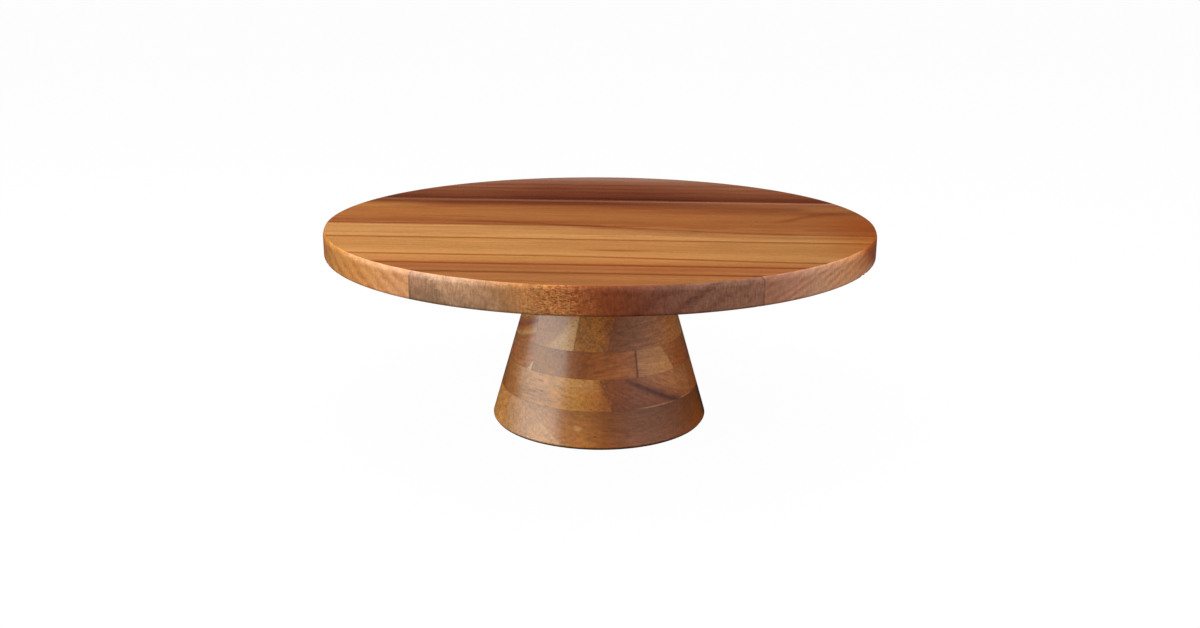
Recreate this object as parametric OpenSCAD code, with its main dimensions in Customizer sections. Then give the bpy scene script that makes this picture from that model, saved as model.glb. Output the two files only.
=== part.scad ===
// Round wooden cake stand: a plate of four edge-glued boards on a cone-shaped pedestal.
// The pedestal is turned from six courses of hardwood blocks, glued face to face. One bolt,
// reached from below, clamps plate and pedestal together, two dowels stop them turning, and
// a felt disc covers the bolt's recess. Millimetres, +Z up. The origin is under the felt, at
// the centre of the foot, and the front of the stand faces -Y.

/* [Plate] */
// Diameter of the plate
plate_d = 305; // [260:5:360]
// Thickness of the plate
plate_t = 14.2; // [14:0.1:22]
// Radius of the rounding at the top of the side
side_round = 6; // [4:0.1:8]
// How far down the side that rounding starts; it ends in a crease at the flat top
side_round_h = 3; // [1.5:0.1:3.5]
// Radius of the eased lower edge
plate_under_round = 1.5; // [1.4:0.1:3]
// Turn of the boards about the vertical axis, in degrees
board_turn = -2.9; // [-15:0.1:15]

/* [Pedestal] */
// Diameter of the pedestal at its foot
foot_d = 124.2; // [115:0.1:150]
// Diameter of the pedestal under the plate
neck_d = 66.7; // [64:0.1:90]
// Height of the pedestal, from the felt to the plate
pedestal_h = 99.4; // [95:0.1:125]
// Radius of the eased edge at the foot
foot_round = 0.8; // [0.5:0.1:3]
// Diameter of the recess that the bolt's head is reached through
recess_d = 26; // [25:0.5:27]

/* [Felt] */
// Thickness of the felt under the foot
felt_t = 0.8; // [0.6:0.1:3]
// Width of wood left bare around the felt
felt_inset = 1.2; // [1:0.1:6]

/* [Fixing] */
// Diameter of the bolt
bolt_d = 8; // [6:0.5:8]
// How far the bolt reaches into the plate
bolt_reach = 8; // [6:0.5:9]
// Length of the threaded insert in the plate
insert_l = 10; // [9:0.5:12]
// Diameter of the dowels between pedestal and plate
dowel_d = 8; // [6:1:8]
// Length of the dowels, half in the pedestal and half in the plate
dowel_l = 20; // [16:1:22]
// Distance of each dowel from the centre
dowel_offset = 20; // [18:1:22]

/* [Hidden] */
$fn = 96;
far = 400;             // longer than anything here, for cuts that run out of the wood
plate_r = plate_d / 2;
foot_r = foot_d / 2;
neck_r = neck_d / 2;
wood_z = felt_t;                       // underside of the pedestal's wood
plate_z = wood_z + pedestal_h;         // underside of the plate

// Seams between the plate's boards, as shares of its radius, from the front to the back
board_seams = [-0.842, -0.354, 0.4] * plate_r;
board_edges = concat([-far], board_seams, [far]);
BOARDS = ["front_board", "narrow_board", "broad_board", "rear_board"];
board_tones = ["chestnut", "honey", "amber", "mahogany"];

// Wood tones
TONES = [
    ["mahogany", "#6b3a22"],
    ["amber", "#a9682f"],
    ["honey", "#bd8444"],
    ["chestnut", "#8b5730"],
    ["plum", "#6f4a38"],
    ["umber", "#7d5733"],
    ["straw", "#b08a4e"],
    ["russet", "#8f5128"],
];
function tone(name) = TONES[search([name], TONES)[0]][1];

// One entry per course, from the foot up: its share of the pedestal's height, the turn of its
// strips about the vertical axis, the seams between those strips and each strip's butt joints,
// both in millimetres from the axis, and the blocks' tones. Strips run from front to back.
COURSES = [
    [0.194, 8, [-20, 18], [[-46], [22], [-8]],
        ["russet", "chestnut", "umber", "plum", "amber", "umber"]],
    [0.167, -40, [-37.7, 16], [[], [-24], [10]],
        ["straw", "umber", "plum", "russet", "chestnut"]],
    [0.143, 20, [-43.2, -20.2, 16], [[3.5], [18], [-26], [6]],
        ["russet", "straw", "umber", "mahogany", "chestnut", "plum", "amber", "umber"]],
    [0.193, 53, [-31.9, -16, 10], [[], [], [20], [-12]],
        ["plum", "umber", "honey", "russet", "chestnut", "plum"]],
    [0.151, -15, [-12, 14], [[10], [-20], [-6]],
        ["chestnut", "amber", "umber", "russet", "plum", "umber"]],
    [0.152, 35, [-14, 14], [[-5], [], [8]],
        ["umber", "russet", "chestnut", "honey", "plum"]],
];
course_count = len(COURSES);
recess_courses = 3;    // the recess runs up through this many courses
DOWELS = ["left_dowel", "right_dowel"];

function sum_to(list, n) = n <= 0 ? 0 : list[n - 1] + sum_to(list, n - 1);
function course_z(c) = wood_z + pedestal_h * sum_to([for (k = COURSES) k[0]], c);
function strip_edges(c) = concat([-far], COURSES[c][2], [far]);
function butt_edges(c, s) = concat([-far], COURSES[c][3][s], [far]);
// Each block of a course as [start and end along the strip, start and end across it]
function blocks(c) = [
    for (s = [0 : len(COURSES[c][2])])
        for (b = [0 : len(COURSES[c][3][s])])
            [butt_edges(c, s)[b], butt_edges(c, s)[b + 1], strip_edges(c)[s], strip_edges(c)[s + 1]]
];
function block_name(c, i) = str("course_", c + 1, "_block_", i + 1);
dowel_turn = COURSES[course_count - 1][1];   // the dowels stand in the top course's middle strip

// Fixing sizes
bolt_clear_d = bolt_d + 1;
thread_gap = 0.05;                    // between the bolt's thread and the insert's
head_d = bolt_d * 1.625;
key_across_flats = bolt_d * 0.75;
key_depth = bolt_d * 0.5;
insert_d = 12;
insert_flange_d = 16;
insert_flange_t = 1.5;
washer_d = 24;
washer_t = 1.6;
spring_washer_d = 13;
spring_washer_t = 2;
spring_washer_gap = 1.2;              // the split in the ring
seat_z = course_z(recess_courses);    // the washer bears on this face
washer_z = seat_z - washer_t;
spring_washer_z = washer_z - spring_washer_t;

// What is cut away to ease the corner of a square edge: the corner less a quarter circle
module edge_cut(r) {
    difference() {
        square([r + 1, r + 1]);
        circle(r);
    }
}

module plate_profile() {
    difference() {
        square([plate_r, plate_t]);
        translate([plate_r - side_round, plate_t - side_round_h]) edge_cut(side_round);
        translate([plate_r - plate_under_round, plate_under_round])
            mirror([0, 1]) edge_cut(plate_under_round);
    }
}

// The whole turned plate, with its boards along X, before it is divided into them
module plate_blank() {
    difference() {
        translate([0, 0, plate_z]) rotate_extrude() plate_profile();
        insert_shape();
        for (side = [0, 1]) rotate([0, 0, -board_turn]) dowel_shape(side);
    }
}

module board(i) {
    color(tone(board_tones[i]))
        rotate([0, 0, board_turn])
            intersection() {
                plate_blank();
                translate([-far, board_edges[i], plate_z - 1])
                    cube([2 * far, board_edges[i + 1] - board_edges[i], plate_t + 2]);
            }
}

// The cone's side leans in, so the circle that eases the foot's corner touches it further in
module pedestal_profile() {
    lean = atan((foot_r - neck_r) / pedestal_h);
    reach = foot_round / tan((90 - lean) / 2);
    centre = [foot_r - reach, foot_round];
    difference() {
        polygon([[0, 0], [foot_r, 0], [neck_r, pedestal_h], [0, pedestal_h]]);
        difference() {
            polygon([
                centre,
                [foot_r - reach, 0],
                [foot_r - reach, -1],
                [foot_r + 1, -1],
                centre + (foot_round + 1) * [cos(lean), sin(lean)],
            ]);
            translate(centre) circle(foot_round);
        }
    }
}

// The whole turned pedestal with its bolt hole, recess and dowel holes
module pedestal_blank() {
    difference() {
        translate([0, 0, wood_z]) rotate_extrude() pedestal_profile();
        translate([0, 0, wood_z - 1]) cylinder(d = recess_d, h = seat_z - wood_z + 1);
        translate([0, 0, seat_z - 1]) cylinder(d = bolt_clear_d, h = plate_z - seat_z + 2);
        for (side = [0, 1]) dowel_shape(side);
    }
}

module block(c, i) {
    b = blocks(c)[i];
    color(tone(COURSES[c][4][i]))
        intersection() {
            pedestal_blank();
            rotate([0, 0, COURSES[c][1]])
                translate([b[0], b[2], course_z(c)])
                    cube([b[1] - b[0], b[3] - b[2], course_z(c + 1) - course_z(c)]);
        }
}

module felt_disc() {
    color("#2b2420")
        cylinder(r = foot_r - felt_inset, h = felt_t);
}

// Hexagon socket cap screw, standing head down
module clamp_bolt() {
    color("silver")
        difference() {
            union() {
                translate([0, 0, spring_washer_z - bolt_d]) cylinder(d = head_d, h = bolt_d);
                translate([0, 0, spring_washer_z - 1])
                    cylinder(d = bolt_d - 2 * thread_gap, h = plate_z + bolt_reach - spring_washer_z + 1);
            }
            translate([0, 0, spring_washer_z - bolt_d - 1])
                cylinder(d = key_across_flats / cos(30), h = key_depth + 1, $fn = 6);
        }
}

module ring(outer, inner, t) {
    difference() {
        cylinder(d = outer, h = t);
        translate([0, 0, -1]) cylinder(d = inner, h = t + 2);
    }
}

module spring_washer() {
    color("gray")
        difference() {
            translate([0, 0, spring_washer_z])
                ring(spring_washer_d, bolt_d + 0.4, spring_washer_t);
            translate([0, -spring_washer_gap / 2, spring_washer_z - 1])
                cube([spring_washer_d, spring_washer_gap, spring_washer_t + 2]);
        }
}

module flat_washer() {
    color("silver")
        translate([0, 0, washer_z]) ring(washer_d, bolt_d + 0.4, washer_t);
}

// The insert's outside, which is also the hole that it fills in the plate
module insert_shape() {
    translate([0, 0, plate_z]) {
        cylinder(d = insert_d, h = insert_l);
        cylinder(d = insert_flange_d, h = insert_flange_t);
    }
}

module threaded_insert() {
    color("goldenrod")
        difference() {
            insert_shape();
            translate([0, 0, plate_z - 1]) cylinder(d = bolt_d, h = insert_l + 2);
        }
}

// The dowel on one side of the bolt, 0 for the left and 1 for the right
module dowel_shape(side) {
    rotate([0, 0, dowel_turn])
        translate([(2 * side - 1) * dowel_offset, 0, plate_z - dowel_l / 2])
            cylinder(d = dowel_d, h = dowel_l);
}

module dowel(side) {
    color("burlywood") dowel_shape(side);
}

for (i = [0 : len(BOARDS) - 1])
    board(i);
for (c = [0 : course_count - 1])
    for (i = [0 : len(blocks(c)) - 1])
        block(c, i);
felt_disc();
clamp_bolt();
spring_washer();
flat_washer();
threaded_insert();
for (side = [0, 1])
    dowel(side);
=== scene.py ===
import math
import bpy
from mathutils import Matrix, Vector


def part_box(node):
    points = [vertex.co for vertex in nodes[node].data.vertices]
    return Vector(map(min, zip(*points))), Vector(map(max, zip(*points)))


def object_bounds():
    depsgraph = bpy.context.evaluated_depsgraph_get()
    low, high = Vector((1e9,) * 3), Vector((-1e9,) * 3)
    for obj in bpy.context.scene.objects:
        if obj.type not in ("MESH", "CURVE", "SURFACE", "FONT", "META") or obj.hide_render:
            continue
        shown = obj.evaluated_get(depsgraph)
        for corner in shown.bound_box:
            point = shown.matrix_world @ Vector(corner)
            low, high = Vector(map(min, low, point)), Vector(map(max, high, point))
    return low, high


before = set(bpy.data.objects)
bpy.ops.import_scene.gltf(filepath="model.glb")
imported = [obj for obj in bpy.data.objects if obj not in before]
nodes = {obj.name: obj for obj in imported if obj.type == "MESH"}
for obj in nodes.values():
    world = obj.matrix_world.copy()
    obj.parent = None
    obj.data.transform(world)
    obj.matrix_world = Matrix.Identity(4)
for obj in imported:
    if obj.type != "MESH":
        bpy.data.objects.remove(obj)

cad_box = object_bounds()

# A wooden cake stand. Every CAD node keeps its own mesh and gets a procedural material.
# Materials work in millimetres in the row's frame; colours are sRGB, 0 to 255. Lights, floor and
# camera are in metres.
MM_PER_M = 1000.0


# ---------------------------------------------------------------- fields made of shader nodes

def linear(colour):
    """An sRGB colour, 0 to 255, as linear RGBA."""
    shares = [part / 255.0 for part in colour]
    return (*(x / 12.92 if x <= 0.04045 else ((x + 0.055) / 1.055) ** 2.4 for x in shares), 1.0)


def feed(tree, socket, value):
    """Gives an input socket a field, another node's output or a plain value."""
    if isinstance(value, Field):
        value = value.socket
    if isinstance(value, bpy.types.NodeSocket):
        tree.links.new(value, socket)
    else:
        socket.default_value = value


def arithmetic(operation, swapped=False):
    """A method of Field: a Math node for the field and the values that come with it."""
    def method(self, *others):
        return self.operate(operation, *((*others, self) if swapped else (self, *others)))
    return method


class Field:
    """A number that varies over the surface: an output socket with ordinary arithmetic."""

    def __init__(self, tree, socket):
        self.tree, self.socket = tree, socket

    def operate(self, operation, *values, clamp=False):
        """The result of one Math node."""
        node = self.tree.nodes.new("ShaderNodeMath")
        node.operation = operation
        node.use_clamp = clamp
        for socket, value in zip(node.inputs, values):
            feed(self.tree, socket, value)
        return Field(self.tree, node.outputs[0])

    __add__ = arithmetic("ADD")
    __radd__ = arithmetic("ADD", swapped=True)
    __sub__ = arithmetic("SUBTRACT")
    __rsub__ = arithmetic("SUBTRACT", swapped=True)
    __mul__ = arithmetic("MULTIPLY")
    __truediv__ = arithmetic("DIVIDE")
    abs = arithmetic("ABSOLUTE")
    sqrt = arithmetic("SQRT")
    tanh = arithmetic("TANH")
    fract = arithmetic("FRACT")
    min = arithmetic("MINIMUM")
    max = arithmetic("MAXIMUM")

    def unit(self):
        """Held between 0 and 1."""
        return self.operate("ADD", self, 0.0, clamp=True)

    def smooth(self, low, high):
        """0 at low and 1 at high, eased between and held beyond. Low may be the larger number."""
        node = self.tree.nodes.new("ShaderNodeMapRange")
        node.interpolation_type = "SMOOTHSTEP"
        feed(self.tree, node.inputs["Value"], self)
        node.inputs["From Min"].default_value = min(low, high)
        node.inputs["From Max"].default_value = max(low, high)
        node.inputs["To Min"].default_value = 0.0 if low < high else 1.0
        node.inputs["To Max"].default_value = 1.0 if low < high else 0.0
        return Field(self.tree, node.outputs["Result"])

    def ramp(self, *stops):
        """Colours along this field: each stop is (value, colour)."""
        low, high = stops[0][0], stops[-1][0]
        node = self.tree.nodes.new("ShaderNodeValToRGB")
        feed(self.tree, node.inputs["Fac"], (self - low) / (high - low))
        elements = node.color_ramp.elements
        while len(elements) < len(stops):
            elements.new(0.5)
        for element, (value, _) in zip(elements, stops):
            element.position = (value - low) / (high - low)
        for element, (_, colour) in zip(elements, stops):
            element.color = linear(colour)
        return node.outputs["Color"]


# The Mix node's own places for its factor, its two colours and its colour result
MIX_FACTOR, MIX_A, MIX_B, MIX_RESULT = 0, 6, 7, 2


class Surface:
    """The coordinates and textures of one material, in millimetres and in the row's frame."""

    def __init__(self, name):
        self.material = bpy.data.materials.new(name)
        self.material.use_nodes = True
        self.tree = self.material.node_tree
        self.tree.nodes.clear()
        self.out = self.tree.nodes.new("ShaderNodeOutputMaterial")
        self.shader = self.tree.nodes.new("ShaderNodeBsdfPrincipled")
        self.tree.links.new(self.shader.outputs[0], self.out.inputs["Surface"])
        metres = self.tree.nodes.new("ShaderNodeTexCoord").outputs["Object"]
        self.place = self.vector_math("MULTIPLY", metres, (MM_PER_M,) * 3).outputs["Vector"]
        parts = self.tree.nodes.new("ShaderNodeSeparateXYZ")
        self.tree.links.new(self.place, parts.inputs[0])
        self.x, self.y, self.z = (Field(self.tree, socket) for socket in parts.outputs)

    def vector_math(self, operation, *values):
        """A Vector Math node with its values filled in."""
        node = self.tree.nodes.new("ShaderNodeVectorMath")
        node.operation = operation
        for socket, value in zip(node.inputs, values):
            feed(self.tree, socket, value)
        return node

    def join(self, x, y, z):
        """A vector from three numbers or fields."""
        node = self.tree.nodes.new("ShaderNodeCombineXYZ")
        for socket, value in zip(node.inputs, (x, y, z)):
            feed(self.tree, socket, value)
        return node.outputs[0]

    def dot(self, vector, direction):
        """The dot product of a vector output and a direction."""
        return Field(self.tree, self.vector_math("DOT_PRODUCT", vector, tuple(direction)).outputs["Value"])

    def along(self, direction):
        """The distance along a direction, in millimetres."""
        return self.dot(self.place, direction)

    def facing(self, direction):
        """How far the surface faces a direction: the cosine of the angle."""
        return self.dot(self.tree.nodes.new("ShaderNodeNewGeometry").outputs["Normal"], direction)

    def noise(self, vector, scale, detail, rough, seed, distort=0.0):
        """Noise about 0, from about -0.5 to 0.5."""
        node = self.tree.nodes.new("ShaderNodeTexNoise")
        node.noise_dimensions = "4D"
        feed(self.tree, node.inputs["Vector"], vector)
        node.inputs["W"].default_value = seed
        node.inputs["Scale"].default_value = scale
        node.inputs["Detail"].default_value = detail
        node.inputs["Roughness"].default_value = rough
        node.inputs["Distortion"].default_value = distort
        return Field(self.tree, node.outputs["Fac"]) - 0.5

    def near(self, distance, width):
        """1 where a distance is zero, fading to 0 at the width."""
        return distance.abs().smooth(width, 0.0)

    def blend(self, first, second, share, kind="MIX"):
        """One tone where the share is 0, another where it is 1."""
        node = self.tree.nodes.new("ShaderNodeMix")
        node.data_type = "RGBA"
        node.blend_type = kind
        node.clamp_factor = True
        feed(self.tree, node.inputs[MIX_FACTOR], share)
        feed(self.tree, node.inputs[MIX_A], first)
        feed(self.tree, node.inputs[MIX_B], second)
        return node.outputs[MIX_RESULT]

    def paint(self, tone, colour, share):
        """Moves a tone towards a colour as far as the share says."""
        return self.blend(tone, linear(colour), share)

    def stain(self, tone, tint, share):
        """Multiplies a tone by a tint as strongly as the share says."""
        return self.blend(tone, linear(tint), share, "MULTIPLY")

    def scaled(self, tone, factor):
        """A tone times a number."""
        node = self.vector_math("SCALE", tone)
        feed(self.tree, node.inputs["Scale"], factor)
        return node.outputs["Vector"]

    def bump(self, height, distance, strength):
        """Gives the surface a fine relief; the distance is in metres."""
        node = self.tree.nodes.new("ShaderNodeBump")
        node.inputs["Strength"].default_value = strength
        node.inputs["Distance"].default_value = distance
        feed(self.tree, node.inputs["Height"], height)
        self.tree.links.new(node.outputs[0], self.shader.inputs["Normal"])

    def dress(self, name):
        """Makes this the only material of a CAD node."""
        materials = nodes[name].data.materials
        materials.clear()
        materials.append(self.material)


# ---------------------------------------------------------------- wood

GRAIN_ROUGHNESS = 0.55
MOTTLE_SCALE, MOTTLE_DETAIL, MOTTLE_ROUGHNESS = 0.5, 3, 0.7
GRAIN_RELIEF, BRUSHED_RELIEF, FELT_RELIEF = 0.00012, 0.00005, 0.0004


class Wood(Surface):
    """Solid timber with its own grain frame in mm: u along the fibres, v and w across them."""

    def __init__(self, name, fibre, across, seed):
        super().__init__(name)
        fibre = Vector(fibre).normalized()
        across = (Vector(across) - fibre * fibre.dot(Vector(across))).normalized()
        self.seed = seed
        self.u, self.v, self.w = map(self.along, (fibre, across, fibre.cross(across)))
        self.end = self.facing(fibre).abs().smooth(0.35, 0.95)      # 1 on end grain
        self.side = self.facing((0, 0, 1)).abs().smooth(0.95, 0.6)  # 1 on upright faces
        self.sway = self.grain(130, 34, 1, 0.0)
        self.broad = self.grain(46, 4.6, 2, 7.7)
        self.fine = self.grain(9.0, 1.0, 3, 3.1)
        self.pores = self.grain(3.6, 0.5, 1, 11.3).smooth(0.11, 0.27)
        self.mottle = self.noise(self.place, MOTTLE_SCALE, MOTTLE_DETAIL, MOTTLE_ROUGHNESS, seed + 21.0)
        self.joints = []        # the distances from the glued joints

    def grain(self, length, width, detail, shift):
        """Noise drawn out along the fibres; length and width are in mm."""
        where = self.join(self.u / length, self.v / width, self.w / width)
        return self.noise(where, 1.0, detail, GRAIN_ROUGHNESS, self.seed + shift)

    def rings(self, v, w, spacing, wander=6.0):
        """Latewood lines round a pith at (v, w): 0 in the pale wood, 1 in the dark lines."""
        dv = self.v - v + self.sway * wander
        dw = self.w - w
        radius = (dv * dv + dw * dw).sqrt() + self.broad * (1.3 * spacing)
        years = self.join(radius / (spacing * 2.6), self.seed, 0.0)
        pace = self.noise(years, 1.0, 1, 0.5, self.seed)
        phase = (radius / spacing + pace * 1.7).fract()
        strength = (self.broad * 1.6 + pace * 1.5 + 0.55).unit()
        return phase.smooth(0.12, 0.82) * phase.smooth(1.0, 0.84) * strength

    def finish(self, tone, contrast, pores, end, seam=0.0, gloss=1.0):
        """Grain, pores, end grain and glue lines over the tone, under a clear lacquer."""
        shade = 1.0 + self.fine * contrast + self.broad * (0.5 * contrast) - (self.pores - 0.08) * pores
        shade = shade + self.mottle * (0.9 * contrast)
        shade = shade * (1.0 - self.end * end)
        if self.joints:
            gap = self.joints[0].abs()
            for other in self.joints[1:]:
                gap = gap.min(other.abs())
            shade = shade * (1.0 - gap.smooth(0.5, 0.1) * seam)
        coat = ((0.95 + self.fine * 0.35 - self.pores * 0.4) * gloss).unit()
        feed(self.tree, self.shader.inputs["Base Color"], self.scaled(tone, shade.max(0.05)))
        feed(self.tree, self.shader.inputs["Roughness"], (self.fine * 0.3 + 0.5).unit())
        feed(self.tree, self.shader.inputs["Coat Weight"], coat)
        feed(self.tree, self.shader.inputs["Coat Roughness"], (self.broad * 0.12 + 0.25).unit())
        self.shader.inputs["Specular IOR Level"].default_value = 0.1
        self.bump(self.fine * 0.4 - self.pores * 0.5 + self.broad * 0.3, GRAIN_RELIEF, 0.35)


# ---------------------------------------------------------------- the four boards of the plate

# The floor of each course of the foot, and last the plate's underside
LEVELS = [MM_PER_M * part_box("course_%d_block_1" % course)[0][2] for course in range(1, 7)]
LEVELS.append(MM_PER_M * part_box("course_6_block_1")[1][2])
TOP_Z = MM_PER_M * cad_box[1][2]
SIDE_MIDDLE_Z = (TOP_Z + LEVELS[-1]) / 2

# The boards run along u, nearly left to right; v runs to the back and gives the seams' places
BOARD_TURN = math.radians(-2.9)
BOARD_ALONG = Vector((math.cos(BOARD_TURN), math.sin(BOARD_TURN), 0))
BOARD_ACROSS = Vector((-math.sin(BOARD_TURN), math.cos(BOARD_TURN), 0))
FRONT_SEAM, MIDDLE_SEAM, REAR_SEAM = -128.4, -54.0, 61.0

LEFT_TINT = (250, 254, 254)     # the golden boards are a little less red on the left


class Board(Wood):
    """A board of the plate. On its edge, up is the height above the middle of the edge."""

    def __init__(self, name, seed):
        super().__init__(name, BOARD_ALONG, BOARD_ACROSS, seed)
        self.top = 1.0 - self.side
        self.up = self.z - SIDE_MIDDLE_Z
        self.joints = [(self.v - seam) + self.side * 0.35 for seam in (FRONT_SEAM, MIDDLE_SEAM, REAR_SEAM)]
        self.streaks = self.grain(70, 1.3, 2, 17.0) * self.top

    def turned_down(self, edge):
        """At the right end the edge is pale below, and dark red turns down onto it from the top."""
        pale = self.up.smooth(1, -6) * self.x.smooth(112, 132)
        edge = self.paint(edge, (212, 154, 114), pale * 0.6)
        dark = (self.x - 137 + self.up * 0.9 + self.broad * 3.0).smooth(-2, 5)
        return self.paint(edge, (158, 72, 24), dark * 0.75)


def broad_board(wood):
    """Golden in front and orange behind, parted by a slanting dark streak."""
    slant = wood.u.smooth(-60, 110) * ((REAR_SEAM - wood.v) / 80).unit() * 16.5
    tone = (wood.v + slant + wood.sway * 3.0).ramp(
        (MIDDLE_SEAM, (176, 116, 58)), (-50, (190, 132, 74)), (-39.5, (194, 137, 79)),
        (-31.5, (186, 128, 73)), (-28, (176, 119, 66)), (-24, (184, 126, 71)), (-20, (170, 108, 56)),
        (-15, (164, 100, 52)), (-4.5, (164, 99, 49)), (13, (168, 103, 51)), (23, (170, 104, 53)),
        (28.5, (162, 95, 47)), (40.5, (138, 75, 36)), (47, (116, 56, 22)), (52, (112, 53, 24)),
        (55, (116, 60, 36)), (58, (128, 73, 48)), (REAR_SEAM, (124, 69, 42)))
    tone = wood.stain(wood.scaled(tone, 1.01 - wood.u * 0.0011), LEFT_TINT, wood.u.smooth(20, -40))
    warmer = wood.v.smooth(36, 50) * wood.u.smooth(-10, 110)
    tone = wood.paint(tone, (164, 102, 62), warmer * 0.7)

    # the slanting streak, broken into dashes in the middle, and the darker wood in front of it
    path = wood.v + 20 + (wood.u / 79).tanh() * 15.7
    streak = wood.near(path + wood.broad * 3.0, 4.4) * wood.u.smooth(-95, -55)
    tone = wood.stain(tone, (212, 180, 156), streak * (wood.u.smooth(70, -20) * 0.3 + 0.4 + wood.fine * 1.6))
    dashes = wood.near(path + wood.broad * 3.0, 1.5) * wood.u.smooth(-30, 20)
    tone = wood.stain(tone, (178, 146, 122), dashes * (wood.broad * 4.0 + wood.fine * 3.0 + 0.55).unit())
    below = wood.near(path + 5.5, 5.0) * wood.u.smooth(-25, 0) * wood.u.smooth(80, 45)
    tone = wood.stain(tone, (232, 226, 232), below)

    # brown threads about the streak on the left, and pale and dark lines beside it
    threads = wood.near(wood.v + 9 + wood.broad * 7.0, 7.0) * wood.u.smooth(30, -30)
    tone = wood.stain(tone, (226, 196, 182), threads * (wood.streaks * 2.6 + 0.6).unit())
    pale_right = wood.near(wood.v + 38 + wood.sway * 2.0, 1.8) * wood.u.smooth(60, 100)
    tone = wood.paint(tone, (194, 136, 80), pale_right * 0.8)
    pale_left = wood.near(wood.v + 23 + wood.broad * 3.0, 2.6) * wood.u.smooth(0, -50)
    tone = wood.paint(tone, (202, 146, 88), pale_left * 0.6)
    second = wood.near(wood.v + 17.5 + wood.broad * 3.0, 2.4) * wood.u.smooth(40, 0)
    tone = wood.stain(tone, (205, 168, 146), second * 0.9)

    # a curl at the right end, a light line along the rear seam, and golden ends
    curl = wood.near(wood.v - 12.2 - ((wood.u - 113) / 14).tanh() * 15.7 + wood.broad * 9.0, 7.0)
    curl = curl * wood.u.smooth(93, 106) * wood.u.smooth(150, 132)
    tone = wood.stain(tone, (222, 184, 156), curl * (wood.fine * 2.0 + 0.7).unit())
    shine = wood.near(wood.v - 58.2 - wood.broad * 0.5, 1.9) * (wood.u.smooth(-30, 80) * 0.65 + 0.3)
    tone = wood.paint(tone, (162, 106, 78), shine)
    golden_left = wood.near(wood.v - 38, 19) * wood.u.smooth(-90, -130)
    golden_right = wood.near(wood.v - 40, 12) * wood.u.smooth(110, 128)
    tone = wood.paint(tone, (206, 142, 70), golden_left * 0.4 + golden_right * 0.25)
    tone = wood.stain(tone, (214, 190, 170), wood.rings(5, -60, 5.2) * 0.8)

    edge = wood.x.ramp(
        (-150, (192, 112, 36)), (-139, (202, 136, 66)), (139, (184, 108, 62)), (150, (186, 108, 60)))
    edge = wood.stain(wood.turned_down(edge), (205, 172, 150), wood.rings(-40, 70, 4.4) * 0.6)
    return wood.blend(tone, edge, wood.side)


def narrow_board(wood):
    """Golden, with thin brown lines and reddish ones near the front joint."""
    tone = (wood.v + wood.sway * 1.2).ramp(
        (FRONT_SEAM, (158, 94, 44)), (-126.5, (166, 102, 52)), (-124, (184, 118, 68)),
        (-121.5, (172, 104, 56)), (-119.5, (168, 100, 51)), (-116, (178, 109, 60)), (-114, (176, 108, 55)),
        (-111.5, (160, 90, 40)), (-109.5, (174, 104, 52)), (-107, (190, 122, 66)), (-99.5, (190, 127, 67)),
        (-89.5, (198, 137, 77)), (-78.5, (188, 128, 69)), (-68, (194, 134, 74)), (-60, (190, 129, 71)),
        (-55.5, (180, 119, 61)), (MIDDLE_SEAM, (170, 108, 52)))
    to_the_right = wood.u * 0.0012 * wood.v.smooth(-124, -104)
    to_the_front = wood.v.smooth(-98, -106) * 0.06
    tone = wood.scaled(tone, 0.93 - to_the_right - to_the_front)
    tone = wood.stain(tone, LEFT_TINT, wood.u.smooth(20, -40))
    dark_line = wood.near(wood.v + 97.2 + ((wood.u - 50) / 50).tanh() * 3.8 + wood.broad * 1.2, 2.4)
    tone = wood.stain(tone, (202, 168, 138), dark_line)
    short_line = wood.near(wood.v + 79 + wood.broad * 3.0, 3.2) * wood.near(wood.u - 14, 30)
    tone = wood.stain(tone, (218, 188, 164), short_line)
    red_line = wood.near(wood.v + 112 + wood.broad * 1.5, 2.2)
    tone = wood.stain(tone, (215, 168, 140), red_line * 0.8)
    tone = wood.stain(tone, (216, 192, 170), wood.rings(-96, -46, 4.3) * 0.8)

    edge = (wood.x + wood.broad * 5.0).ramp(
        (-148, (192, 120, 44)), (-134, (204, 138, 66)), (-118, (210, 142, 70)), (-100, (220, 156, 98)),
        (-88, (216, 154, 102)), (80, (164, 112, 86)), (90, (182, 128, 102)), (103, (194, 144, 110)),
        (114, (206, 150, 112)), (124, (212, 148, 100)), (131, (204, 132, 82)), (138, (192, 116, 66)))

    # growth lines, which lean outwards at both ends
    lean = wood.x - wood.up * wood.x.smooth(-40, 40) * 2.2 + wood.up * wood.x.smooth(40, -40) * 1.2
    growth = (lean / 8.6 + wood.broad).fract()
    growth = growth.smooth(0.0, 0.5) * growth.smooth(1.0, 0.5) * (wood.broad * 2.4 + 0.5).unit()
    return wood.blend(tone, wood.stain(wood.turned_down(edge), (214, 188, 172), growth), wood.side)


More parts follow.
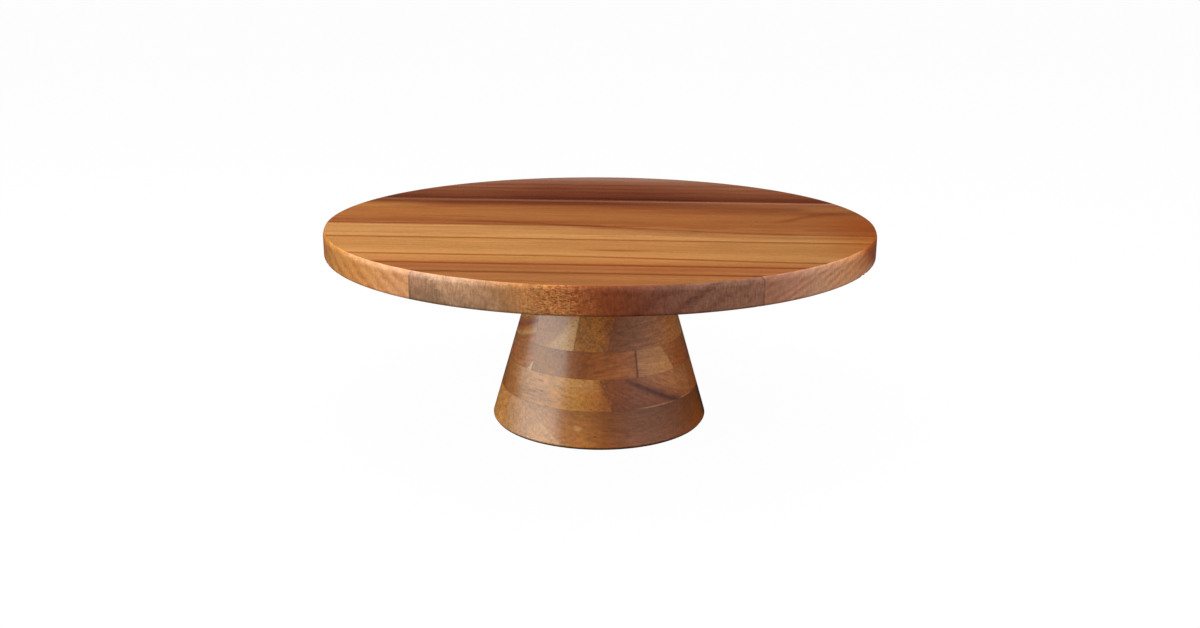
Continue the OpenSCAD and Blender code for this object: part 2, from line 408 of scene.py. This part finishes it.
def front_board(wood):
    """Its long edge runs from greyish tan over gold and dark red to purple brown."""
    tone = (wood.v + wood.sway).ramp(
        (-152.5, (172, 110, 62)), (-149, (170, 108, 60)), (-145, (162, 100, 52)), (-140, (168, 106, 55)),
        (-135, (175, 111, 60)), (-131, (164, 99, 50)), (FRONT_SEAM, (156, 92, 42)))
    tone = wood.scaled(tone, 0.84)

    edge = (wood.x + wood.up * 0.3 + wood.broad * 7.0).ramp(
        (-88, (168, 122, 88)), (-76, (160, 118, 86)), (-64, (178, 132, 96)), (-48, (170, 122, 82)),
        (-34, (180, 120, 68)), (-20, (182, 116, 60)), (-9, (156, 84, 40)), (3, (126, 60, 26)),
        (15, (118, 60, 36)), (30, (122, 74, 56)), (48, (130, 86, 66)), (64, (138, 92, 70)),
        (78, (146, 98, 78)))
    for place, strength in ((-70, 0.45), (-60, 0.35), (-52, 0.25)):
        stripe = wood.near(wood.x + wood.up - place + wood.broad * 16.0 + wood.fine * 9.0, 5.0)
        edge = wood.paint(edge, (212, 166, 126), stripe * strength)
    darker_below = (0.08 - wood.up * 0.042) * wood.x.smooth(-20, -60)
    # a painted highlight on the upper half of the edge near its left end
    painted_highlight = wood.near(wood.x + 80, 22) * wood.up.smooth(0, 5) * 0.16
    edge = wood.scaled(edge, 1.0 - darker_below + painted_highlight)

    # cut fibres show as pale and dark dashes in the golden stretch, and strokes cross the dark one
    golden = wood.near(wood.x + 20, 26)
    dashes = wood.noise(wood.join(wood.x / 1.7, wood.y / 1.7, wood.z / 0.7), 1.0, 3, 0.65, 31.0)
    edge = wood.paint(edge, (212, 156, 98), dashes.smooth(0.02, 0.14) * golden * 0.5)
    edge = wood.stain(edge, (190, 144, 116), dashes.smooth(0.02, -0.12) * golden)
    for place, strength in ((24, 0.4), (43, 0.45), (58, 0.3)):
        stroke = wood.near(wood.x - wood.up * 1.7 - place + wood.broad * 14.0 + wood.fine * 12.0, 5.0)
        edge = wood.stain(edge, (178, 154, 154), stroke * (strength + wood.broad * 1.5))
    return wood.blend(tone, edge, wood.side)


def rear_board(wood):
    """Dark reddish brown, paler towards the back, where the greyish back edge is partly a painted sheen."""
    # the greyish last stop, at the back edge, is partly a painted sheen
    tone = (wood.v + wood.sway * 4.0 * wood.v.smooth(64, 80)).ramp(
        (REAR_SEAM, (124, 68, 40)), (62.5, (116, 60, 30)), (65, (106, 50, 18)), (70, (112, 56, 26)),
        (77, (118, 58, 29)), (88.5, (130, 72, 42)), (102, (142, 84, 52)), (113.5, (146, 90, 62)),
        (127, (152, 98, 72)), (146.5, (162, 122, 102)))
    middle = wood.u.smooth(-100, -30) * wood.u.smooth(90, 20) * wood.v.smooth(146, 112)
    tone = wood.stain(tone, (226, 206, 194), middle)
    dark = wood.near(wood.v - 65.5 - wood.sway * 6.0, 2.6) * wood.u.smooth(-25, 5) * wood.u.smooth(90, 40)
    tone = wood.stain(tone, (196, 160, 130), dark)
    tone = wood.stain(tone, (206, 184, 176), wood.rings(30, -40, 6.2))
    edge = wood.x.ramp((-142, (146, 82, 44)), (0, (128, 66, 38)), (142, (136, 70, 40)))
    return wood.blend(tone, wood.stain(edge, (190, 150, 130), wood.rings(60, 60, 5.0)), wood.side)


def plate_board(name, painter, seed, rough):
    """Paints one board and adds its glue lines and a painted highlight along its crease; rough is for its
    edge's texture.
    """
    wood = Board(name, seed)
    glued = wood.near(wood.v - FRONT_SEAM, 2.0).max(wood.near(wood.v - MIDDLE_SEAM, 2.2)) * wood.top
    tone = wood.stain(painter(wood), (214, 180, 150), glued * 0.8)
    amber_end = wood.u.smooth(108, 150) * wood.v.smooth(22, 8) * wood.top
    tone = wood.stain(tone, (246, 198, 118), amber_end * 0.8)
    # a painted highlight: a pale line along the crease where the top meets the edge
    crease_highlight = wood.near(wood.z - TOP_Z + wood.broad * 0.4, 1.3) * (wood.broad * 1.5 + 0.8).unit() * wood.side
    threads = wood.noise(wood.join(wood.x / 0.9, wood.y / 0.9, wood.z / 3.0), 1.0, 2, 0.6, 33.0) * wood.side
    shade = 1.0 + crease_highlight * 0.3 + wood.streaks * 0.7 + (threads + wood.mottle * wood.side * 0.3) * rough
    dull_crease = wood.near(wood.z - TOP_Z, 4.0) * wood.side * 0.55
    wood.finish(wood.scaled(tone, shade), contrast=0.5, pores=0.24, end=0.0, seam=0.2,
                gloss=1.0 - dull_crease)
    wood.dress(name)


plate_board("front_board", front_board, 2.0, 1.2)
plate_board("narrow_board", narrow_board, 15.0, 0.45)
plate_board("broad_board", broad_board, 28.0, 0.45)
plate_board("rear_board", rear_board, 41.0, 0.45)


# ---------------------------------------------------------------- the blocks of the foot

# Tones of the blocks behind and in the plate's shade
TONES = {"amber": (169, 104, 47), "honey": (189, 132, 68), "chestnut": (139, 87, 48),
         "plum": (111, 74, 56), "umber": (125, 87, 51), "russet": (143, 81, 40)}
PALER, DARKER = 1.14, 0.86      # how far a block's wood varies about its tone

# Each course: its turn in degrees, the seams between its strips (mm across the strips), the butt
# joints of each strip (mm along it), and each block's tone, None where LOOKS has the block
COURSES = [
    (8, [-20, 18], [[-46], [22], [-8]], [None, None, None, "plum", "amber", "umber"]),
    (-40, [-37.7, 16], [[], [-24], [10]], [None, "umber", None, "russet", None]),
    (20, [-43.2, -20.2, 16], [[3.5], [18], [-26], [6]],
     [None, None, None, None, None, "plum", "amber", "umber"]),
    (53, [-31.9, -16, 10], [[], [], [20], [-12]], [None, None, None, "russet", None, "plum"]),
    (-15, [-12, 14], [[10], [-20], [-6]], ["chestnut", "amber", "umber", "russet", "plum", "umber"]),
    (35, [-14, 14], [[-5], [], [8]], ["umber", "russet", "chestnut", "honey", "plum"]),
]

# Blocks seen from the front, below the plate's shade: the colours along x, the fibre direction where
# it is not the strip's own, the rings' pith (v, w), spacing and strength, and how strongly the
# fibres show
LOOKS = {
    # In course 1 the pale pinkish stops from about x -53 to -30 are partly painted highlight, in the key
    # light's reflection
    "course_1_block_1": (
        [(-53, (206, 146, 82)), (-42, (216, 166, 124))],
        (0.98, 0.10, -0.10), (-160, -30, 2.3, 0.25), 0.6),
    "course_1_block_2": (
        [(-42, (220, 172, 130)), (-30, (214, 160, 112)), (-20, (186, 120, 60)), (-8, (184, 114, 46)),
         (3, (156, 86, 26)), (10, (146, 82, 38)), (20, (142, 84, 48)), (40, (139, 81, 49)),
         (52, (151, 86, 42)), (58, (166, 90, 34))],
        (0.98, 0.10, -0.10), (-160, -30, 2.3, 0.28), 0.6),
    "course_1_block_3": (
        [(-60, (214, 148, 78)), (-52, (206, 140, 72))],
        (0.7, -0.7, 0.15), (40, 20, 4.0, 0.4), 0.9),
    "course_2_block_1": (
        [(-55, (162, 94, 34)), (-47, (170, 110, 54)), (-42, (192, 144, 100)), (-32, (190, 138, 94)),
         (-25, (194, 134, 66)), (-14, (200, 136, 58)), (-4, (188, 116, 42)), (4, (174, 98, 30))],
        None, (10, 80, 2.2, 0.15), 0.75),
    "course_2_block_3": (
        [(6, (144, 76, 28)), (14, (140, 74, 36)), (24, (142, 79, 46)), (36, (150, 84, 48)),
         (48, (176, 98, 50))],
        (29.6, 15.5, -16.5), (-90, 10, 2.2, 0.4), 0.7),
    "course_2_block_5": (
        [(48, (186, 104, 46)), (56, (198, 110, 50))],
        None, (20, 40, 2.5, 0.5), 0.7),
    "course_3_block_5": (
        [(-51, (172, 102, 44)), (-37, (176, 116, 66))],
        (0.8, -0.6, 0.25), (-40, 20, 2.6, 0.6), 0.8),
    "course_3_block_3": (
        [(-37, (180, 128, 78)), (-27, (178, 124, 72)), (-20, (176, 118, 72)), (-15, (166, 98, 44)),
         (-8, (150, 80, 24))],
        None, (40, 100, 2.0, 0.15), 0.8),
    "course_3_block_1": (
        [(-8, (158, 84, 22)), (0, (170, 94, 32)), (10, (176, 98, 38)), (20, (178, 102, 48))],
        (0.95, 0.2, 0.12), (110, -20, 2.4, 0.55), 0.8),
    "course_3_block_2": (
        [(20, (180, 116, 64)), (28, (194, 130, 76)), (38, (206, 140, 80))],
        (0.9, 0.45, -0.1), (150, 0, 3.4, 0.4), 0.6),
    "course_3_block_4": (
        [(36, (186, 110, 58)), (50, (172, 92, 38))],
        (0.8, 0.6, -0.12), (-80, 30, 2.4, 0.6), 0.8),
    # In course 4 the colours from about x -47 to -13 are partly painted highlight, in the key light's
    # reflection
    "course_4_block_5": (
        [(-47, (184, 104, 50)), (-34, (190, 126, 74))],
        (0.62, -0.72, 0.35), (70, 50, 3.2, 0.7), 0.8),
    "course_4_block_3": (
        [(-34.5, (214, 147, 78)), (-29, (226, 168, 108)), (-22, (230, 176, 118)), (-13, (234, 178, 108))],
        None, (110, 60, 3.0, 0.2), 0.7),
    "course_4_block_2": (
        [(-12, (196, 126, 52)), (0, (192, 116, 42)), (7, (166, 90, 30))],
        None, (20, 90, 2.2, 0.2), 1.1),
    "course_4_block_1": (
        [(6, (142, 80, 36)), (18, (148, 86, 46)), (30, (180, 112, 64)), (44, (210, 132, 68))],
        (0.8, 0.6, 0.03), (-60, 10, 2.8, 0.5), 0.8),
}
# How strongly the fibres and the rings show on the other blocks
PLAIN_CONTRAST, PLAIN_RINGS = 0.8, 0.45


def mineral_streak(wood, tone):
    """A dark streak runs down through the block, with paler wood above it and a gleam below."""
    tone = wood.scaled(tone, 0.86 + wood.z.smooth(21, 33) * 0.18)
    gleam = wood.near(wood.z - 20.4, 0.7) * wood.x.smooth(18, 28)
    tone = wood.paint(tone, (206, 148, 106), gleam * 0.6)
    line = (wood.z - LEVELS[2] + (wood.x - 15.1) * 0.557) * 0.87 + wood.broad * 1.6
    tone = wood.paint(tone, (182, 115, 66), line.smooth(0.5, 6.0) * wood.x.smooth(12, 30) * 0.85)
    dark = wood.near(line + 0.8 + wood.fine * 1.5, 2.2) * wood.x.smooth(10, 20)
    return wood.paint(tone, (84, 40, 32), dark * 0.85)


def pale_top(wood, tone):
    """Paler towards the upper edge, in the middle of the block, and torn at its right end."""
    share = wood.z.smooth(27, 35) * wood.x.smooth(-46, -30) * wood.x.smooth(4, -8)
    tone = wood.paint(tone, (224, 164, 92), (share + wood.broad * 0.8 * share) * 0.55)
    strip_seam = wood.joints[2]
    torn = strip_seam + wood.sway * 5.0 + wood.mottle * 5.0
    tone = wood.paint(tone, (150, 84, 36), torn.smooth(-1.0, -0.3) * 0.8)
    return wood.paint(tone, (92, 44, 18), wood.near(torn + 1.0, 0.7) * 0.6)


def thick_joint(wood, tone):
    """A thick dark glue line at the strip's butt joint."""
    return wood.paint(tone, (88, 36, 20), wood.near(wood.joints[-1], 1.1) * 0.75)


def diagonal_band(wood, tone):
    """A pale slanting band, and the grey wood beside it."""
    line = (wood.z - LEVELS[3] - 0.1 - (wood.x + 26.0) * 1.15) * 0.66 + wood.sway * 3.0
    tone = wood.paint(tone, (240, 190, 128), wood.near(line + 1.2, 2.4) * 0.8)
    return wood.paint(tone, (188, 132, 92), line.smooth(1.0, 3.5) * 0.6)


def sweeping_bands(wood, tone):
    """Pale and dark bands sweep up to the right."""
    line = wood.z - LEVELS[3] - 0.1 - (wood.x + 44.0) * 0.62 + wood.sway * 6.0
    for rise, width in ((1.8, 1.8), (9.6, 1.4)):
        tone = wood.paint(tone, (212, 166, 96), wood.near(line - rise, width) * 0.8)
    return wood.paint(tone, (112, 44, 20), wood.near(line - 5.6, 2.0) * 0.5)


def pale_corner(wood, tone):
    """A pale triangle in the lower right corner."""
    slope = (wood.x + 40.2) * 1.4 - (wood.z - LEVELS[2])
    return wood.paint(tone, (232, 192, 152), slope.smooth(-0.4, 0.6) * wood.x.smooth(-44, -42) * 0.8)


def pale_spot(wood, tone):
    """Paler towards the floor, with one pale spot in front and a pale slanting band on the left."""
    tone = wood.scaled(tone, 1.14 - wood.z * 0.0185)
    right_of_spot, above_spot = wood.x + 11.5, wood.z - 11
    spot = (right_of_spot * right_of_spot * 0.35 + above_spot * above_spot).sqrt()
    tone = wood.paint(tone, (226, 172, 104), wood.near(spot, 1.9) * 0.8)
    band = wood.near((wood.z - 4 + (wood.x + 24) * 0.85) * 0.76 + wood.sway * 3.0, 2.2)
    return wood.paint(tone, (228, 176, 128), band * wood.x.smooth(-14, -20) * 0.6)


MARKS = {"course_1_block_2": pale_spot, "course_2_block_1": pale_top, "course_2_block_3": mineral_streak,
         "course_3_block_1": thick_joint, "course_3_block_2": thick_joint, "course_3_block_5": pale_corner,
         "course_4_block_3": diagonal_band, "course_4_block_5": sweeping_bands}


def foot_block(name, level, number, turn, seams, joints, tone_name):
    """One block: level counts the courses from 0, number the blocks of its course from 1."""
    angle = math.radians(turn)
    strip_along = Vector((math.cos(angle), math.sin(angle), 0))
    strip_across = Vector((-math.sin(angle), math.cos(angle), 0))
    if name in LOOKS:
        colours, fibre, rings, contrast = LOOKS[name]
    else:
        fibre, contrast = strip_along, PLAIN_CONTRAST
        rings = ((number * 37) % 50 - 25 + LEVELS[level], 30 + (number * 29 + level * 13) % 40,
                 2.6 + (number * 7 + level * 5) % 4 * 0.5, PLAIN_RINGS)
    wood = Wood(name, fibre or strip_along, (0, 0, 1), 60.0 + 17.0 * level + 2.3 * number)
    wood.joints = [wood.z - LEVELS[level], wood.z - LEVELS[level + 1]]
    wood.joints += [wood.along(strip_across) - seam for seam in seams]
    wood.joints += [wood.along(strip_along) - joint for joint in joints]
    if name in LOOKS:
        tone = (wood.x + wood.broad * 3.0).ramp(*colours)
    else:
        paler, darker = ([part * factor for part in TONES[tone_name]] for factor in (PALER, DARKER))
        tone = wood.broad.ramp((-0.3, paler), (0.3, darker))
    if name in MARKS:
        tone = MARKS[name](wood, tone)
    pith_v, pith_w, spacing, strength = rings
    lines = wood.rings(pith_v, pith_w, spacing, wander=5.0)
    tone = wood.stain(tone, (176, 138, 122), lines * (strength * 0.7))
    wood.finish(tone, contrast=contrast * 1.6, pores=0.6, end=0.14, seam=0.12)
    wood.dress(name)


for level, (turn, seams, joints, tones) in enumerate(COURSES):
    number = 0
    for strip, strip_joints in enumerate(joints):
        strip_seams = seams[max(strip - 1, 0):strip + 1]
        for _ in range(len(strip_joints) + 1):
            number += 1
            name = "course_%d_block_%d" % (level + 1, number)
            foot_block(name, level, number, turn, strip_seams, strip_joints, tones[number - 1])


# ---------------------------------------------------------------- hidden parts and the felt

def dowel(name, seed):
    """Pale beech with upright fibres."""
    wood = Wood(name, (0, 0, 1), (1, 0, 0), seed)
    tone = wood.broad.ramp((-0.3, (222, 184, 140)), (0.3, (196, 152, 106)))
    wood.finish(wood.stain(tone, (220, 190, 165), wood.rings(20, 12, 1.6)), contrast=0.5, pores=0.25, end=0.2)
    wood.dress(name)


def metal(name, dull, bright, rough, seed):
    """Brushed round its upright axis, with faint clouds of wear."""
    surface = Surface(name)
    cloud = surface.noise(surface.place, 0.22, 3, 0.6, seed)
    fine_rings = surface.join(surface.x / 2.5, surface.y / 2.5, surface.z / 0.12)
    brushed = surface.noise(fine_rings, 1.0, 2, 0.6, seed + 1)
    tone = (cloud + brushed * 0.5).ramp((-0.35, dull), (0.35, bright))
    feed(surface.tree, surface.shader.inputs["Base Color"], tone)
    feed(surface.tree, surface.shader.inputs["Roughness"], cloud * 0.2 + brushed * 0.15 + rough)
    surface.shader.inputs["Metallic"].default_value = 1.0
    surface.bump(brushed * 0.4 + cloud * 0.2, BRUSHED_RELIEF, 0.3)
    surface.dress(name)


def felt(name):
    """Dark brown felt with a clumpy nap."""
    surface = Surface(name)
    fuzz = surface.noise(surface.place, 1.7, 4, 0.7, 12.0, distort=1.5)
    clumps = surface.noise(surface.place, 0.16, 3, 0.6, 13.0)
    tone = (fuzz + clumps * 0.5).ramp((-0.3, (30, 23, 19)), (0.05, (52, 42, 36)), (0.35, (84, 71, 60)))
    feed(surface.tree, surface.shader.inputs["Base Color"], tone)
    feed(surface.tree, surface.shader.inputs["Roughness"], (fuzz * 0.1 + 0.95).unit())
    surface.shader.inputs["Specular IOR Level"].default_value = 0.2
    surface.shader.inputs["Sheen Weight"].default_value = 0.35
    surface.shader.inputs["Sheen Roughness"].default_value = 0.5
    surface.bump(fuzz + clumps * 0.6, FELT_RELIEF, 0.6)
    surface.dress(name)


dowel("left_dowel", 5.0)
dowel("right_dowel", 9.0)
metal("clamp_bolt", (150, 152, 156), (188, 190, 194), 0.30, 4.0)
metal("spring_washer", (96, 96, 98), (132, 132, 134), 0.38, 6.0)
metal("flat_washer", (160, 162, 166), (194, 196, 200), 0.32, 8.0)
metal("threaded_insert", (168, 128, 64), (206, 170, 96), 0.30, 2.0)
felt("felt_disc")


# ---------------------------------------------------------------- floor, lights and camera

CENTRE = (0.0, 0.0, 0.06)
WHITE = (1, 1, 1, 1)


def area_light(name, at, width, height, power, mirrored=True):
    """A soft light that faces the stand; one that is not mirrored leaves no highlight."""
    data = bpy.data.lights.new(name, "AREA")
    data.shape = "RECTANGLE"
    data.size, data.size_y = width, height
    data.energy = power
    light = bpy.data.objects.new(name, data)
    bpy.context.scene.collection.objects.link(light)
    light.visible_glossy = mirrored
    light.location = at
    light.rotation_euler = (Vector(CENTRE) - Vector(at)).to_track_quat("-Z", "Y").to_euler()


def around(azimuth, elevation, distance):
    """A place seen from the stand's centre: azimuth 0 is in front, positive to the right."""
    turn, rise = math.radians(azimuth), math.radians(elevation)
    level = distance * math.cos(rise)
    return (level * math.sin(turn), -level * math.cos(turn), CENTRE[2] + distance * math.sin(rise))


# Each light's name and place, its width and height in metres, and its power in watts
area_light("key", around(-75.5, 16.5, 1.3), 1.62, 0.68, 13.2)
area_light("overhead", (-0.1, -0.25, 1.5), 1.2, 1.0, 22.0, mirrored=False)
area_light("fill", around(42, 24, 1.8), 1.5, 0.7, 5.0, mirrored=False)
area_light("low_fill", around(52, 6, 1.8), 1.5, 0.35, 8.0, mirrored=False)
area_light("rear_left", around(-128, 50, 1.6), 0.8, 0.8, 3.5)
area_light("rear_right", around(120, 50, 1.6), 0.8, 0.8, 4.5)

FLOOR_REACH, FLOOR_DROP = 30.0, 0.0002
FLOOR_GREY, FLOOR_MIRRORED = (0.14, 0.14, 0.14, 1), (0.035, 0.035, 0.035, 1)
FLOOR_GLOW, FLOOR_GLOW_SHARE = 1.09, 0.90
BACKDROP_GLOW, WALLS_IN_FRONT, WALLS_BEHIND = 1.05, 0.42, 0.02


def light_path(tree, kind):
    """1 for rays of this kind and 0 for the others."""
    return tree.nodes.new("ShaderNodeLightPath").outputs[kind]


def mixed_shaders(tree, share, first, second):
    """The first shader where the share is 0, the second where it is 1."""
    node = tree.nodes.new("ShaderNodeMixShader")
    feed(tree, node.inputs[0], share)
    tree.links.new(first.outputs[0], node.inputs[1])
    tree.links.new(second.outputs[0], node.inputs[2])
    return node.outputs[0]


def floor_material():
    """Almost white to the camera, a dull grey to the light, and darker still in the lacquer."""
    surface = Surface("floor")
    surface.tree.nodes.remove(surface.shader)
    diffuse = surface.tree.nodes.new("ShaderNodeBsdfDiffuse")
    grey = surface.blend(FLOOR_GREY, FLOOR_MIRRORED, light_path(surface.tree, "Is Glossy Ray"))
    feed(surface.tree, diffuse.inputs["Color"], grey)
    glow = surface.tree.nodes.new("ShaderNodeEmission")
    glow.inputs["Color"].default_value = WHITE
    glow.inputs["Strength"].default_value = FLOOR_GLOW
    share = Field(surface.tree, light_path(surface.tree, "Is Camera Ray")) * FLOOR_GLOW_SHARE
    surface.tree.links.new(mixed_shaders(surface.tree, share, diffuse, glow), surface.out.inputs["Surface"])
    return surface.material


def background(tree, strength):
    """A white world shader."""
    node = tree.nodes.new("ShaderNodeBackground")
    node.inputs["Color"].default_value = WHITE
    feed(tree, node.inputs["Strength"], strength)
    return node


def studio_world():
    """White to the camera; as a light it has pale walls in front and a dark one behind."""
    world = bpy.data.worlds.new("studio")
    world.use_nodes = True
    tree = world.node_tree
    tree.nodes.clear()
    direction = tree.nodes.new("ShaderNodeSeparateXYZ")
    tree.links.new(tree.nodes.new("ShaderNodeTexCoord").outputs["Generated"], direction.inputs[0])
    walls = tree.nodes.new("ShaderNodeMapRange")
    walls.interpolation_type = "SMOOTHSTEP"
    walls.inputs["From Min"].default_value = 0.0
    walls.inputs["From Max"].default_value = 0.5
    walls.inputs["To Min"].default_value = WALLS_IN_FRONT
    walls.inputs["To Max"].default_value = WALLS_BEHIND
    tree.links.new(direction.outputs["Y"], walls.inputs["Value"])
    lit, seen = background(tree, walls.outputs[0]), background(tree, BACKDROP_GLOW)
    end = tree.nodes.new("ShaderNodeOutputWorld")
    shader = mixed_shaders(tree, light_path(tree, "Is Camera Ray"), lit, seen)
    tree.links.new(shader, end.inputs["Surface"])
    return world


floor_mesh = bpy.data.meshes.new("floor")
corners = [(x * FLOOR_REACH, y * FLOOR_REACH, 0) for x, y in ((-1, -1), (1, -1), (1, 1), (-1, 1))]
floor_mesh.from_pydata(corners, [], [(0, 1, 2, 3)])
floor_mesh.materials.append(floor_material())
floor = bpy.data.objects.new("floor", floor_mesh)
bpy.context.scene.collection.objects.link(floor)
floor.location.z = -FLOOR_DROP
bpy.context.scene.world = studio_world()

PLATE_D = 0.305
ELEVATION, ROLL, DISTANCE = math.radians(15.64), math.radians(0.318), 2.2154 * PLATE_D
TARGET = Vector((0.00069 * PLATE_D, 0.0, 0.194 * PLATE_D))
LENS, SENSOR = 35.175, 36.0


def add_camera():
    """Looks at the target from the front, a little rolled about its own axis."""
    forward = Vector((0, math.cos(ELEVATION), -math.sin(ELEVATION)))
    upward = Vector((0, math.sin(ELEVATION), math.cos(ELEVATION)))
    right = Vector((1, 0, 0))
    rolled_right = right * math.cos(ROLL) + upward * math.sin(ROLL)
    rolled_upward = upward * math.cos(ROLL) - right * math.sin(ROLL)
    data = bpy.data.cameras.new("camera")
    data.sensor_fit = "HORIZONTAL"
    data.sensor_width = SENSOR
    data.lens = LENS
    camera = bpy.data.objects.new("camera", data)
    bpy.context.scene.collection.objects.link(camera)
    turn = Matrix((rolled_right, rolled_upward, -forward)).transposed().to_4x4()
    camera.matrix_world = Matrix.Translation(TARGET - forward * DISTANCE) @ turn
    bpy.context.scene.camera = camera


add_camera()
bpy.context.scene.view_settings.view_transform = "Standard"
bpy.context.scene.view_settings.look = "None"

bpy.context.view_layer.update()
